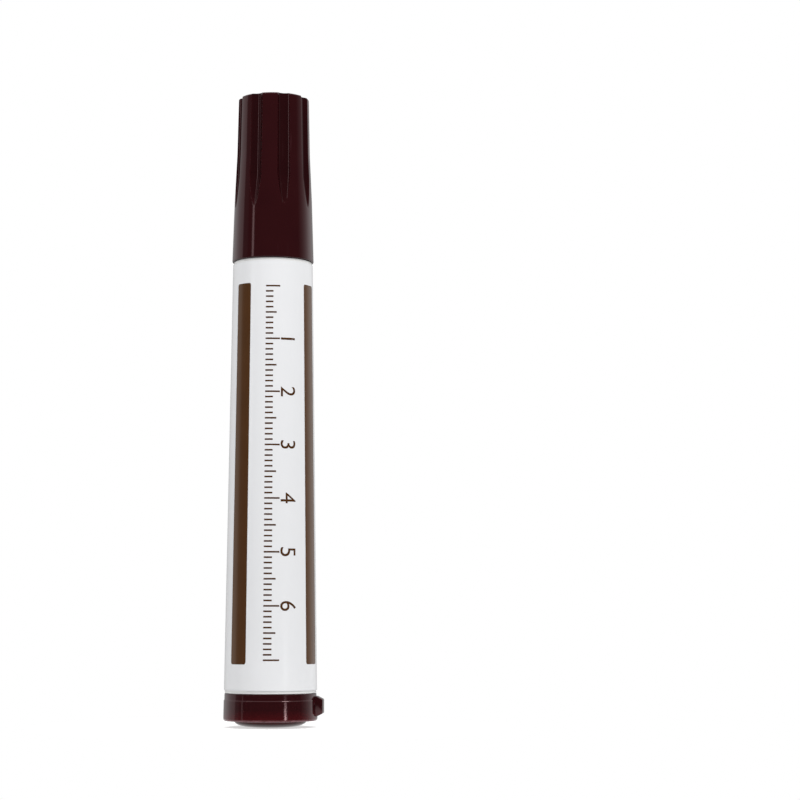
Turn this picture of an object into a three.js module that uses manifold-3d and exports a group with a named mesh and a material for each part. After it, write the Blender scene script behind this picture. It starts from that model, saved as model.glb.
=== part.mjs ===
// A furniture touch-up pen: a capped, valve-action stain marker that stands on its tail plug.
// Millimetres. +Z runs along the pen from tail to cap, the origin is the centre of the flat foot,
// and the printed front of the barrel faces -Y.
import * as THREE from 'three';
import { mergeVertices } from 'three/addons/utils/BufferGeometryUtils.js';
import Module from 'manifold-3d';

const wasm = await Module();
wasm.setup();

// Facets round the turned pieces
const roundFacets = 40;
const smallFacets = 24;
const edgeSteps = 3;

// Clearances
const seatGap = 0.05;
const pressClearance = 0.05;
const slideClearance = 0.15;
const capClearance = 0.1;
const linerClearance = 0.2;

// Tail plug: rounded foot, drafted band with a step line, anti-roll lug, hollow ribbed spigot
const footHeight = 1.2;
const footInset = 2;
const footRound = 3.65;
const bandHeight = 5.1;
const bandOverhang = 0.25;
const bandDraft = 0.07;
const bandStep = 0.05;
const bandEdge = 0.3;
const stepHeight = 1.2;
const lugReach = 1.15;
const lugWidth = 3;
const lugFootMargin = 0.8;
const lugTopMargin = 0.5;
const lugChamfer = 0.6;
const lugRoot = 1;
const lugTurn = 74;
const plugFloor = 2.4;
const spigotLength = 7.5;
const spigotWall = 1.2;
const spigotLead = 0.8;
const spigotLeadDepth = 0.4;
const ribCount = 3;
const ribHeight = 0.12;
const ribWidth = 0.8;

// Mixing ball
const ballRadius = 3;
const ballStopGap = 0.4;

// Barrel: tapered tube, shoulder for the cap, neck with a snap bead
const barrelLength = 81.75;
const barrelTailRadius = 8.6;
const barrelFrontRadius = 7.45;
const barrelWall = 1.2;
const shoulderWall = 1.8;
const shoulderSlope = 1.2;
const shoulderStep = 1.25;
const neckLength = 8;
const neckWall = 1.3;
const neckChamfer = 0.4;
const beadHeight = 0.2;
const beadWidth = 1.2;
const beadCrest = 0.4;
const beadDrop = 3.4;

// Label film round the barrel
const labelThickness = 0.12;
const labelGlue = 0.03;
const labelMargin = 0.6;
const labelSeam = 0.5;

// Nose piece: spigot in the neck, flange, sealing land, cone, bore with feed grooves
const noseSpigotLength = 10;
const noseFlange = 1.4;
const noseFlangeInset = 0.25;
const landStep = 1.75;
const landLength = 4;
const coneLength = 5;
const tipWall = 0.85;
const tipEdge = 0.3;
const socketWall = 0.9;
const grooveCount = 4;
const grooveWidth = 0.7;
const grooveDepth = 0.35;

// Nib
const nibRadius = 2;
const nibReach = 5;
const nibPoint = 3.2;
const nibPointSteps = 6;
const nibStroke = 1.8;
const nibRearRoom = 0.5;
const nibTail = 0.4;

// Valve: gasket, cage, stem and spring behind the nib
const gasketThickness = 1.2;
const flowGap = 0.35;
const collarLength = 3;
const cageStep = 0.4;
const cageWall = 0.8;
const cageLength = 8;
const cageFloor = 1.2;
const windowCount = 4;
const windowWidth = 2;
const windowMargin = 1;
const stemPinRadius = 1;
const stemGuideRadius = 0.9;
const stemFlange = 1.2;
const stemFlangeRoom = 0.5;
const stemGuideInset = 0.3;
const springWireRadius = 0.25;
const springRoom = 0.55;
const springTurns = 6;
const stepsPerTurn = 8;
const wireSides = 5;

// Cap: plain skirt, sloping shoulder, fluted grip, snap groove, liner pocket
const capWall = 1.28;
const capSkirtLength = 11.85;
const capSkirtTaper = 0.37;
const capShoulderLength = 9;
const capShoulderTaper = 0.43;
const capGripTaper = 0.23;
const capTopEdge = 0.35;
const capMouthEdge = 0.35;
const capRoof = 1.5;
const pocketSlope = 1;
const fluteCount = 8;
const fluteTurn = 9.3;
const fluteDepth = 0.8;
const fluteCutter = 1.17;
const fluteFoot = 9.9;
const fluteFade = 6.2;
const fluteNoseSteps = 5;
const fluteOverrun = 1;

// Cap liner
const linerWall = 0.75;
const linerLift = 0.4;
const linerRoof = 0.9;
const nibHeadroom = 6;
const lipHeight = 0.14;
const lipLength = 1.4;
const linerLead = 0.95;

// Levels along the pen
const bandTop = footHeight + bandHeight;
const barrelTail = bandTop + seatGap;
const shoulder = barrelTail + barrelLength;
const noseSeat = shoulder + neckLength + seatGap;
const capMouth = shoulder + seatGap;

// Fits shared by several pieces
const bandRadius = barrelTailRadius + bandOverhang;
const neckRadius = barrelFrontRadius - shoulderStep;
const neckBore = neckRadius - neckWall;
const beadLevel = neckLength - beadDrop;
const noseFlangeRadius = neckRadius - noseFlangeInset;
const landRadius = noseFlangeRadius - landStep;
const noseSpigotRadius = neckBore - pressClearance;
const socketRadius = noseSpigotRadius - socketWall;
const seatedRadius = socketRadius - pressClearance;
const nibBore = nibRadius + slideClearance;
const cageRadius = seatedRadius - cageStep;
const cageBore = cageRadius - cageWall;
const capBore = neckRadius + beadHeight + capClearance;
const capMouthRadius = capBore + capWall;
const capSkirtRadius = capMouthRadius - capSkirtTaper;
const capGripRadius = capSkirtRadius - capShoulderTaper;
const capTopRadius = capGripRadius - capGripTaper;
const linerBore = landRadius + linerClearance;
const linerRadius = linerBore + linerWall;
const pocketRadius = linerRadius + pressClearance;

// Levels inside the nose, measured from the underside of its flange
const noseRear = -noseSpigotLength;
const noseTip = noseFlange + landLength + coneLength;
const nibTip = noseTip + nibReach;
const collarTop = noseRear + collarLength;
const gasketFoot = collarTop + seatGap;
const gasketTop = gasketFoot + gasketThickness;
const socketTop = gasketTop + seatGap;
const nibRear = socketTop + nibStroke + nibRearRoom;
const cageRear = noseRear - cageLength;
const cageFloorTop = cageRear + cageFloor;
const stemFlangeTop = gasketFoot - seatGap;
const stemFlangeFoot = stemFlangeTop - stemFlange;

// Levels inside the cap, measured from its mouth
const linerMouth = noseSeat + noseFlange + linerLift - capMouth;
const linerCeiling = noseSeat + nibTip + nibHeadroom - capMouth;
const linerTop = linerCeiling + linerRoof;
const capCeiling = linerTop + seatGap;
const capLength = capCeiling + capRoof;
const pocketFoot = linerMouth + linerLead;
const gripFoot = capSkirtLength + capShoulderLength;

// Turns degrees from the printed front, counted towards +X, into an angle about +Z from +X.
function frontAngle(degrees) {
  return THREE.MathUtils.degToRad(degrees - 90);
}

// Points of a rounded edge of a width and a height about a centre, in the plane of radius and height.
function roundEdge(centreRadius, centreHeight, width, height, fromDegrees, toDegrees) {
  const points = [];
  for (let i = 0; i <= edgeSteps; i += 1) {
    const turn = THREE.MathUtils.degToRad(THREE.MathUtils.lerp(fromDegrees, toDegrees, i / edgeSteps));
    points.push([centreRadius + width * Math.cos(turn), centreHeight + height * Math.sin(turn)]);
  }
  return points;
}

// Turns an outline of [radius, height] points about the pen's axis. The outline runs anticlockwise
// with radius to the right, and either starts and ends on the axis or closes on its first point.
function turned(outline, facets) {
  const points = outline.map(([radius, height]) => new THREE.Vector2(radius, height));
  const onAxis = points[0].x === 0 && points.at(-1).x === 0;
  if (!onAxis) points.push(points[0].clone());
  const geometry = new THREE.LatheGeometry(points, facets);
  geometry.rotateX(Math.PI / 2);
  return geometry;
}

// A closed mesh as a solid that can be cut and joined.
function solidOf(geometry) {
  const bare = geometry.clone();
  bare.deleteAttribute('normal');
  bare.deleteAttribute('uv');
  const merged = mergeVertices(bare);
  const corners = merged.index.array;
  const kept = [];
  for (let i = 0; i < corners.length; i += 3) {
    const [a, b, c] = corners.slice(i, i + 3);
    if (a !== b && b !== c && c !== a) kept.push(a, b, c);
  }
  const vertProperties = new Float32Array(merged.attributes.position.array);
  const triVerts = Uint32Array.from(kept);
  return new wasm.Manifold(new wasm.Mesh({ numProp: 3, vertProperties, triVerts }));
}

// A cut or joined solid as a mesh geometry again.
function geometryOf(solid) {
  const mesh = solid.getMesh();
  const geometry = new THREE.BufferGeometry();
  geometry.setAttribute('position', new THREE.BufferAttribute(mesh.vertProperties, 3));
  geometry.setIndex(new THREE.BufferAttribute(mesh.triVerts, 1));
  geometry.computeVertexNormals();
  return geometry;
}

// Cuts a list of tool geometries out of a geometry.
function cut(geometry, tools) {
  const solid = tools.reduce((rest, tool) => rest.subtract(solidOf(tool)), solidOf(geometry));
  return geometryOf(solid);
}

// A finished piece: a named mesh with a material of its own.
function piece(name, geometry, color, roughness, metalness = 0) {
  const material = new THREE.MeshStandardMaterial({ color, roughness, metalness });
  const mesh = new THREE.Mesh(geometry, material);
  mesh.name = name;
  return mesh;
}

// A group of pieces whose heights are measured from one level of the pen.
function groupAt(level, ...pieces) {
  const group = new THREE.Group();
  group.position.z = level;
  group.add(...pieces);
  return group;
}

// Radius of the barrel at a height above its tail.
function barrelRadiusAt(height) {
  return THREE.MathUtils.mapLinear(height, 0, barrelLength, barrelTailRadius, barrelFrontRadius);
}

// Radius of the cap between its edges, at a height above its mouth.
function capRadiusAt(height) {
  const { mapLinear } = THREE.MathUtils;
  if (height < capSkirtLength) return mapLinear(height, 0, capSkirtLength, capMouthRadius, capSkirtRadius);
  if (height < gripFoot) return mapLinear(height, capSkirtLength, gripFoot, capSkirtRadius, capGripRadius);
  return mapLinear(height, gripFoot, capLength, capGripRadius, capTopRadius);
}

// Radius of the plug's spigot between its ribs, at a height above the barrel's tail.
function spigotRadiusAt(height) {
  return barrelRadiusAt(height) - barrelWall - pressClearance - ribHeight;
}

// The ribbed side of the plug's spigot, from the band inwards.
function ribOutline() {
  const points = [[spigotRadiusAt(0), bandTop]];
  const pitch = (spigotLength - spigotLead) / ribCount;
  const half = ribWidth / 2;
  for (let i = 0; i < ribCount; i += 1) {
    const middle = (i + 0.5) * pitch;
    points.push([spigotRadiusAt(middle - half), barrelTail + middle - half]);
    points.push([spigotRadiusAt(middle) + ribHeight, barrelTail + middle]);
    points.push([spigotRadiusAt(middle + half), barrelTail + middle + half]);
  }
  return points;
}

// The anti-roll lug: a block with sloped ends that stands out of the plug's band.
function lug() {
  const foot = footHeight + lugFootMargin;
  const top = bandTop - lugTopMargin;
  const face = bandRadius + lugReach;
  const side = new THREE.Shape();
  side.moveTo(bandRadius - lugRoot, foot);
  side.lineTo(bandRadius, foot);
  side.lineTo(face, foot + lugChamfer);
  side.lineTo(face, top - lugChamfer);
  side.lineTo(bandRadius, top);
  side.lineTo(bandRadius - lugRoot, top);
  const block = new THREE.ExtrudeGeometry(side, { depth: lugWidth, bevelEnabled: false });
  block.translate(0, 0, -lugWidth / 2);
  block.rotateX(Math.PI / 2);
  block.rotateZ(frontAngle(lugTurn));
  return block;
}

function tailPlug() {
  const footRadius = bandRadius - footInset;
  const draftedRadius = bandRadius - bandDraft;
  const stripRadius = draftedRadius - bandStep;
  const spigotTop = bandTop + spigotLength;
  const spigotRadius = spigotRadiusAt(spigotLength);
  const hollow = spigotRadius - spigotWall;
  const body = turned([
    [0, 0],
    ...roundEdge(footRadius - footRound, footHeight, footRound, footHeight, -90, 0),
    ...roundEdge(bandRadius - bandEdge, footHeight + bandEdge, bandEdge, bandEdge, -90, 0),
    [draftedRadius, bandTop - stepHeight - bandStep],
    [stripRadius, bandTop - stepHeight],
    [stripRadius, bandTop],
    ...ribOutline(),
    [spigotRadius, spigotTop - spigotLead],
    [spigotRadius - spigotLeadDepth, spigotTop],
    [hollow, spigotTop],
    [hollow, plugFloor],
    [0, plugFloor],
  ], roundFacets);
  return geometryOf(solidOf(body).add(solidOf(lug())));
}

function mixingBall() {
  const ball = new THREE.SphereGeometry(ballRadius, smallFacets, smallFacets / 2);
  ball.rotateX(Math.PI / 2);
  ball.translate(0, 0, plugFloor + seatGap + ballRadius);
  return ball;
}

function barrel() {
  const webFoot = barrelLength - shoulderWall - shoulderSlope;
  const webTop = barrelLength - shoulderWall;
  const neckTop = barrelLength + neckLength;
  const bead = barrelLength + beadLevel;
  const half = beadWidth / 2;
  const crest = beadCrest / 2;
  return turned([
    [barrelTailRadius - barrelWall, 0],
    [barrelTailRadius, 0],
    [barrelFrontRadius, barrelLength],
    [neckRadius, barrelLength],
    [neckRadius, bead - half],
    [neckRadius + beadHeight, bead - crest],
    [neckRadius + beadHeight, bead + crest],
    [neckRadius, bead + half],
    [neckRadius, neckTop - neckChamfer],
    [neckRadius - neckChamfer, neckTop],
    [neckBore, neckTop],
    [neckBore, webTop],
    [barrelRadiusAt(webFoot) - barrelWall, webFoot],
  ], roundFacets);
}

function barrelLabel() {
  const foot = labelMargin;
  const top = barrelLength - labelMargin;
  const film = turned([
    [barrelRadiusAt(foot) + labelGlue, foot],
    [barrelRadiusAt(foot) + labelGlue + labelThickness, foot],
    [barrelRadiusAt(top) + labelGlue + labelThickness, top],
    [barrelRadiusAt(top) + labelGlue, top],
  ], roundFacets);
  const seam = new THREE.BoxGeometry(labelSeam, barrelTailRadius, 2 * barrelLength);
  seam.translate(0, barrelTailRadius, 0);
  return cut(film, [seam]);
}

function nosePiece() {
  const tipRadius = nibBore + tipWall;
  const body = turned([
    [socketRadius, noseRear],
    [noseSpigotRadius, noseRear],
    [noseSpigotRadius, 0],
    [noseFlangeRadius, 0],
    [noseFlangeRadius, noseFlange],
    [landRadius, noseFlange],
    [landRadius, noseFlange + landLength],
    ...roundEdge(tipRadius - tipEdge, noseTip - tipEdge, tipEdge, tipEdge, 0, 90),
    [nibBore, noseTip],
    [nibBore, socketTop],
    [socketRadius, socketTop],
  ], roundFacets);
  const grooves = [];
  const grooveRadius = nibBore + grooveDepth;
  const grooveLength = 2 * (noseTip - socketTop);
  for (let i = 0; i < grooveCount; i += 1) {
    const groove = new THREE.BoxGeometry(grooveRadius, grooveWidth, grooveLength);
    groove.translate(grooveRadius / 2, 0, noseTip);
    groove.rotateZ((i * 2 * Math.PI) / grooveCount);
    grooves.push(groove);
  }
  return cut(body, grooves);
}

function nib() {
  const outline = [
    [0, nibRear],
    [nibRadius - nibTail, nibRear],
    [nibRadius, nibRear + nibTail],
  ];
  for (let i = 0; i < nibPointSteps; i += 1) {
    const turn = (Math.PI / 2) * (i / nibPointSteps);
    outline.push([nibRadius * Math.cos(turn), nibTip - nibPoint * (1 - Math.sin(turn))]);
  }
  outline.push([0, nibTip]);
  return turned(outline, smallFacets);
}

function valveGasket() {
  const hole = stemPinRadius + flowGap;
  return turned([
    [hole, gasketFoot],
    [seatedRadius, gasketFoot],
    [seatedRadius, gasketTop],
    [hole, gasketTop],
  ], smallFacets);
}

function valveCage() {
  const guide = stemGuideRadius + slideClearance;
  const cup = turned([
    [guide, cageRear],
    [cageRadius, cageRear],
    [cageRadius, noseRear],
    [seatedRadius, noseRear],
    [seatedRadius, collarTop],
    [cageBore, collarTop],
    [cageBore, cageFloorTop],
    [guide, cageFloorTop],
  ], smallFacets);
  const windows = [];
  const windowHeight = noseRear - cageFloorTop - 2 * windowMargin;
  for (let i = 0; i < windowCount; i += 1) {
    const window = new THREE.BoxGeometry(2 * cageRadius, windowWidth, windowHeight);
    window.translate(cageRadius, 0, cageFloorTop + windowMargin + windowHeight / 2);
    window.rotateZ(((i + 0.5) * 2 * Math.PI) / windowCount);
    windows.push(window);
  }
  return cut(cup, windows);
}

function valveStem() {
  const stemFlangeRadius = cageBore - stemFlangeRoom;
  return turned([
    [0, cageRear + stemGuideInset],
    [stemGuideRadius, cageRear + stemGuideInset],
    [stemGuideRadius, stemFlangeFoot],
    [stemFlangeRadius, stemFlangeFoot],
    [stemFlangeRadius, stemFlangeTop],
    [stemPinRadius, stemFlangeTop],
    [stemPinRadius, nibRear - seatGap],
    [0, nibRear - seatGap],
  ], smallFacets);
}

// The centre line of the spring, from the cage's floor up to the stem's flange.
class SpringLine extends THREE.Curve {
  getPoint(t, target = new THREE.Vector3()) {
    const radius = stemGuideRadius + springRoom + springWireRadius;
    const foot = cageFloorTop + seatGap + springWireRadius;
    const top = stemFlangeFoot - seatGap - springWireRadius;
    const turn = t * springTurns * 2 * Math.PI;
    const height = THREE.MathUtils.lerp(foot, top, t);
    return target.set(radius * Math.cos(turn), radius * Math.sin(turn), height);
  }
}

function valveSpring() {
  const line = new SpringLine();
  const section = new THREE.Shape();
  for (let i = 0; i < wireSides; i += 1) {
    const turn = (i * 2 * Math.PI) / wireSides;
    const x = springWireRadius * Math.cos(turn);
    const y = springWireRadius * Math.sin(turn);
    if (i === 0) section.moveTo(x, y);
    else section.lineTo(x, y);
  }
  const steps = springTurns * stepsPerTurn;
  const points = line.getSpacedPoints(steps);
  let leastGap = Infinity;
  for (let i = 0; i + stepsPerTurn <= steps; i += 1) {
    const apart = points[i].distanceTo(points[i + stepsPerTurn]) - 2 * springWireRadius;
    leastGap = Math.min(leastGap, apart);
  }
  console.log(`valve spring, least gap between turns: ${leastGap.toFixed(2)} mm`);
  return new THREE.ExtrudeGeometry(section, { steps, extrudePath: line, bevelEnabled: false });
}

// One flute cutter: a round bar that follows the grip's slope, with a long parabolic nose at its foot.
function fluteTool(index) {
  const slope = capGripTaper / (capLength - gripFoot);
  const axisRadius = capTopRadius - fluteDepth + fluteCutter;
  const nose = Array.from({ length: fluteNoseSteps + 1 }, (_, step) => {
    const share = step / fluteNoseSteps;
    return [fluteCutter * share, fluteFoot - capLength + fluteFade * share ** 2];
  });
  const bar = turned([
    ...nose,
    [fluteCutter, fluteOverrun],
    [0, fluteOverrun],
  ], smallFacets);
  bar.rotateY(-Math.atan(slope));
  bar.translate(axisRadius, 0, capLength);
  bar.rotateZ(frontAngle(fluteTurn) + (index * 2 * Math.PI) / fluteCount);
  return bar;
}

function capShell() {
  const groove = beadLevel - seatGap;
  const grooveHalf = beadWidth / 2 + capClearance;
  const mouthCentre = capRadiusAt(capMouthEdge) - capMouthEdge;
  const body = turned([
    [0, capCeiling],
    [pocketRadius, capCeiling],
    [pocketRadius, pocketFoot],
    [capBore, pocketFoot - pocketSlope],
    [capBore, groove + grooveHalf],
    [capBore + beadHeight, groove],
    [capBore, groove - grooveHalf],
    [capBore, capMouthEdge],
    [capBore + capMouthEdge, 0],
    ...roundEdge(mouthCentre, capMouthEdge, capMouthEdge, capMouthEdge, -90, 0),
    [capSkirtRadius, capSkirtLength],
    [capGripRadius, gripFoot],
    ...roundEdge(capTopRadius - capTopEdge, capLength - capTopEdge, capTopEdge, capTopEdge, 0, 90),
    [0, capLength],
  ], roundFacets);
  const tools = Array.from({ length: fluteCount }, (_, index) => fluteTool(index));
  return cut(body, tools);
}

function capLiner() {
  const lip = linerBore - lipHeight;
  return turned([
    [0, linerCeiling],
    [linerBore, linerCeiling],
    [linerBore, linerMouth + lipLength],
    [lip, linerMouth + lipLength / 2],
    [linerBore, linerMouth],
    [linerRadius, linerMouth],
    [linerRadius, linerTop],
    [0, linerTop],
  ], roundFacets);
}

// Colours and finishes of the mouldings
const mahogany = 0x2d1113;
const stain = 0x3a1a14;
const white = 0xeeece6;
const naturalPlastic = 0xd9d6cc;
const rubberGrey = 0x2b2b2d;
const steel = 0xb9bcc0;

const pen = new THREE.Group();
pen.name = 'furniture_touch_up_pen';
pen.add(
  groupAt(0,
    piece('tail_plug', tailPlug(), mahogany, 0.3),
    piece('mixing_ball', mixingBall(), steel, 0.2, 1)),
  groupAt(barrelTail,
    piece('barrel', barrel(), white, 0.45),
    piece('barrel_label', barrelLabel(), white, 0.35)),
  groupAt(noseSeat,
    piece('nose_piece', nosePiece(), white, 0.4),
    piece('nib', nib(), stain, 0.9),
    piece('valve_gasket', valveGasket(), rubberGrey, 0.8),
    piece('valve_cage', valveCage(), naturalPlastic, 0.5),
    piece('valve_stem', valveStem(), naturalPlastic, 0.5),
    piece('valve_spring', valveSpring(), steel, 0.25, 1)),
  groupAt(capMouth,
    piece('cap_shell', capShell(), mahogany, 0.3),
    piece('cap_liner', capLiner(), naturalPlastic, 0.5)),
);

// The ball stops short of the stem's rear end with the nib pressed right in.
const ballStop = noseSeat + cageRear + stemGuideInset - nibStroke - ballStopGap;
const ballTravel = ballStop - 2 * ballRadius - seatGap - plugFloor;
console.log(`mixing ball, travel along the barrel: ${ballTravel.toFixed(2)} mm`);

export default pen;
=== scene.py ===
# %% [markdown]
# # Dressing a furniture touch-up pen
# The pen is a capped stain marker that stands on its tail plug. Its solids arrive already placed and
# sized, so each piece made here goes where its solid is. Lengths in the tables below are millimetres,
# because that is how a moulder thinks, and they become metres when a mesh is made. The pen's axis is Z,
# the flat foot is at the origin and the printed front of the barrel faces -Y.

import math

import bmesh
import bpy
from mathutils import Matrix, Vector


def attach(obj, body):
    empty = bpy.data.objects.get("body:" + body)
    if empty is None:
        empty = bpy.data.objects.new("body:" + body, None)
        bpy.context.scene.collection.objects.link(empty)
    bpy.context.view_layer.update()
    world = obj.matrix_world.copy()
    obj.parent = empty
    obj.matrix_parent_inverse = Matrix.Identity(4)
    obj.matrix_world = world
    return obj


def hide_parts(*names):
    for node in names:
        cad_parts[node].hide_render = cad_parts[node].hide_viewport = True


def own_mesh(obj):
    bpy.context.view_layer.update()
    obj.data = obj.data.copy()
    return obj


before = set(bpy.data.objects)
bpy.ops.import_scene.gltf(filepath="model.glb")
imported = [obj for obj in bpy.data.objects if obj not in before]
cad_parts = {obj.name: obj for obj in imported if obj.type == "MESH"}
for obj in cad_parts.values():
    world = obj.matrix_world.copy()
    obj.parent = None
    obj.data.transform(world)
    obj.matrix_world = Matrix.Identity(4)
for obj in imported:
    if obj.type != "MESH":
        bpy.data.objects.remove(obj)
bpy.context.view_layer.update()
MM = 0.001
print("nodes in the frame:", ", ".join(sorted(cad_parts)))

# %% [markdown]
# ## Small helpers for node trees
# Both shaders and shapes are node trees here. A tree could be wired one link at a time, but that hides
# its meaning in plumbing. The helper `put` adds a node and feeds its inputs. The short ones after it
# each add one kind of node that comes up often, and hand back its result for the next line.

# %% Node helpers
def put(tree, kind, wires=None, **settings):
    """Adds a node and feeds its inputs: a socket is linked, a plain value is set."""
    node = tree.nodes.new(kind)
    for name, value in settings.items():
        setattr(node, name, value)
    for key, wire in (wires or {}).items():
        if isinstance(wire, bpy.types.NodeSocket):
            tree.links.new(wire, node.inputs[key])
        else:
            node.inputs[key].default_value = wire
    return node


def calc(tree, operation, a, b=0.0, c=0.0):
    """One Math node."""
    return put(tree, "ShaderNodeMath", {0: a, 1: b, 2: c}, operation=operation).outputs[0]


def remap(tree, value, low, high, start=0.0, end=1.0, clamp=True):
    """One Map Range node: what runs from low to high then runs from start to end."""
    wires = {0: value, 1: low, 2: high, 3: start, 4: end}
    return put(tree, "ShaderNodeMapRange", wires, clamp=clamp).outputs[0]


def noise(tree, place, scale, detail):
    """One Noise node; on plain Object coordinates its scale counts patches to the metre."""
    wires = {"Vector": place, "Scale": scale, "Detail": detail}
    return put(tree, "ShaderNodeTexNoise", wires).outputs[0]


def mix_colours(tree, share, one, other):
    """One Mix node between two colours."""
    return put(tree, "ShaderNodeMix", {0: share, 6: one, 7: other}, data_type="RGBA").outputs[2]


def dim(tree, colour, factor):
    """One Vector Math node that scales a colour."""
    return put(tree, "ShaderNodeVectorMath", {0: colour, "Scale": factor}, operation="SCALE").outputs[0]


def own_place(tree):
    """Object coordinates, which are metres on the pen."""
    return put(tree, "ShaderNodeTexCoord").outputs["Object"]


def point(tree, x=0.0, y=0.0, z=0.0):
    """One Combine XYZ node."""
    return put(tree, "ShaderNodeCombineXYZ", {0: x, 1: y, 2: z}).outputs[0]


def new_tree(name, kind, inputs, outputs):
    """An empty node group with named sockets, its input node and its output node."""
    tree = bpy.data.node_groups.new(name, kind)
    for label, socket in inputs:
        tree.interface.new_socket(name=label, in_out="INPUT", socket_type="NodeSocket" + socket)
    for label, socket in outputs:
        tree.interface.new_socket(name=label, in_out="OUTPUT", socket_type="NodeSocket" + socket)
    return tree, put(tree, "NodeGroupInput").outputs, put(tree, "NodeGroupOutput").inputs


# %% [markdown]
# ## The skin of moulded plastic
# No moulding is one flat colour: pigment drifts a little, gloss varies where the tool was polished by
# hand, and the surface has a faint orange peel. An image could hold all that, but it would need a
# fitted UV map on each piece. Noise on Object coordinates needs none and has no seams, so one group
# makes the skin and each material sets it.

# %% Skin group
CLOUD_SCALE, PATCH_SCALE, PEEL_SCALE = 170.0, 520.0, 2400.0
CLOUD_SWELL = 0.6


def build_skin():
    inputs = [("Colour", "Color"), ("Drift", "Float"), ("Gloss", "Float"), ("Gloss Spread", "Float")]
    outputs = [("Colour", "Color"), ("Roughness", "Float"), ("Height", "Float")]
    tree, given, result = new_tree("moulded_skin", "ShaderNodeTree", inputs, outputs)
    place = own_place(tree)
    clouds = noise(tree, place, CLOUD_SCALE, 3.0)
    patches = noise(tree, place, PATCH_SCALE, 2.0)
    peel = noise(tree, place, PEEL_SCALE, 2.0)
    swing = calc(tree, "MULTIPLY_ADD", calc(tree, "SUBTRACT", clouds, 0.5), given["Drift"], 1.0)
    tree.links.new(dim(tree, given["Colour"], swing), result["Colour"])
    sway = calc(tree, "SUBTRACT", patches, 0.5)
    dull = calc(tree, "MULTIPLY_ADD", sway, given["Gloss Spread"], given["Gloss"])
    tree.links.new(dull, result["Roughness"])
    tree.links.new(calc(tree, "MULTIPLY_ADD", clouds, CLOUD_SWELL, peel), result["Height"])
    return tree


skin_group = build_skin()
print("skin group:", [item.name for item in skin_group.interface.items_tree])

# %% [markdown]
# ## Handling: fine scratches, and a painted reflection on an edge
# A pen that lives in a drawer gets hairline scratches along its length. Scratches are noise stretched
# along Z and cut off high, so only thin streaks are left, and a wider noise leaves gaps between them. One
# outer edge also gets a ragged pale band that is duller too: a painted reflection of the white floor.
# An edge is found by its height on the pen, because every edge of a turned piece lies at one known level.

# %% Scratch and edge groups
SCRATCH_LEAN, SCRATCH_STRETCH = (0.35, 0.2, 0.0), (2600, 2600, 90)
GAP_SCALE, RAG_SCALE = 140.0, 900.0
RAG_REACH = 1.6


def build_scratches():
    inputs, outputs = [("Amount", "Float")], [("Mask", "Float")]
    tree, given, result = new_tree("hairline_scratches", "ShaderNodeTree", inputs, outputs)
    place = own_place(tree)
    lean = {"Vector": place, "Rotation": SCRATCH_LEAN, "Scale": SCRATCH_STRETCH}
    drawn = put(tree, "ShaderNodeMapping", lean).outputs[0]
    thin_streaks_and_foot_glow = remap(tree, noise(tree, drawn, 1.0, 1.0), 0.68, 0.78)
    some = remap(tree, noise(tree, place, GAP_SCALE, 1.0), 0.5, 0.65)
    marks = calc(tree, "MULTIPLY", thin_streaks_and_foot_glow, some)
    tree.links.new(calc(tree, "MULTIPLY", marks, given["Amount"]), result["Mask"])
    return tree


# Painted reflection: a ragged band at one height, where a pale colour stands for the floor mirrored in the
# edge.
def build_edge_rub():
    inputs, outputs = [("Level", "Float"), ("Reach", "Float")], [("Mask", "Float")]
    tree, given, result = new_tree("painted_edge_reflection", "ShaderNodeTree", inputs, outputs)
    place = own_place(tree)
    height = put(tree, "ShaderNodeSeparateXYZ", {0: place}).outputs["Z"]
    off = calc(tree, "ABSOLUTE", calc(tree, "SUBTRACT", height, given["Level"]))
    away = calc(tree, "DIVIDE", off, given["Reach"])
    ragged = calc(tree, "MULTIPLY", noise(tree, place, RAG_SCALE, 4.0), RAG_REACH)
    near = calc(tree, "SUBTRACT", ragged, away)
    tree.links.new(remap(tree, near, 0.0, 0.9), result["Mask"])
    return tree


scratch_group = build_scratches()
edge_reflection_group = build_edge_rub()
print("handling groups:", scratch_group.name, edge_reflection_group.name)

# %% [markdown]
# ## A recipe for every plastic on the pen
# The cap, plug, barrel, film and valve mouldings are all plastics that differ in colour and gloss. One
# function places the shared groups and gives each material its own values. Numbers that are the same
# all over a surface sit on the shader's own sockets. The dark brown is painted redder towards the plug's
# foot, a painted glow of light bounced up from the white floor. The cap's flutes are painted darker than
# its ribs, a painted shade in the hollows: the lathe below notes how far each point lies under the wall,
# and the material reads that.

# %% Plastic recipe
PLASTIC_IOR = 1.49
PEEL_STRENGTH = 0.35
WEAR_DULLS = 0.16
WORN_SHARE, WORN_LIFT = 0.9, 0.012


def use(tree, group, wires):
    """Places a shared group in a material."""
    return put(tree, "ShaderNodeGroup", wires, node_tree=group).outputs


def start_material(name):
    material = bpy.data.materials.new(name)
    material.use_nodes = True
    tree = material.node_tree
    return material, tree, tree.nodes["Principled BSDF"].inputs


def redder_foot(tree, body, glow, low, high):
    """Mixes a painted glow of floor bounce light into the body towards the foot; low and high are heights
    in millimetres.
    """
    height = put(tree, "ShaderNodeSeparateXYZ", {0: own_place(tree)}).outputs["Z"]
    near = remap(tree, height, low * MM, high * MM, 1.0, 0.0)
    return mix_colours(tree, near, body, (*glow, 1.0))


def darker_flutes(tree, body, deep, tone):
    """Dims the body to a tone where the lathe noted a hollow, as painted shade in the flutes; deep is where
    the tone is reached.
    """
    hollow = put(tree, "ShaderNodeAttribute", attribute_name="hollow").outputs["Fac"]
    return dim(tree, body, remap(tree, hollow, 0.0, deep * MM, 1.0, tone))


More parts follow.
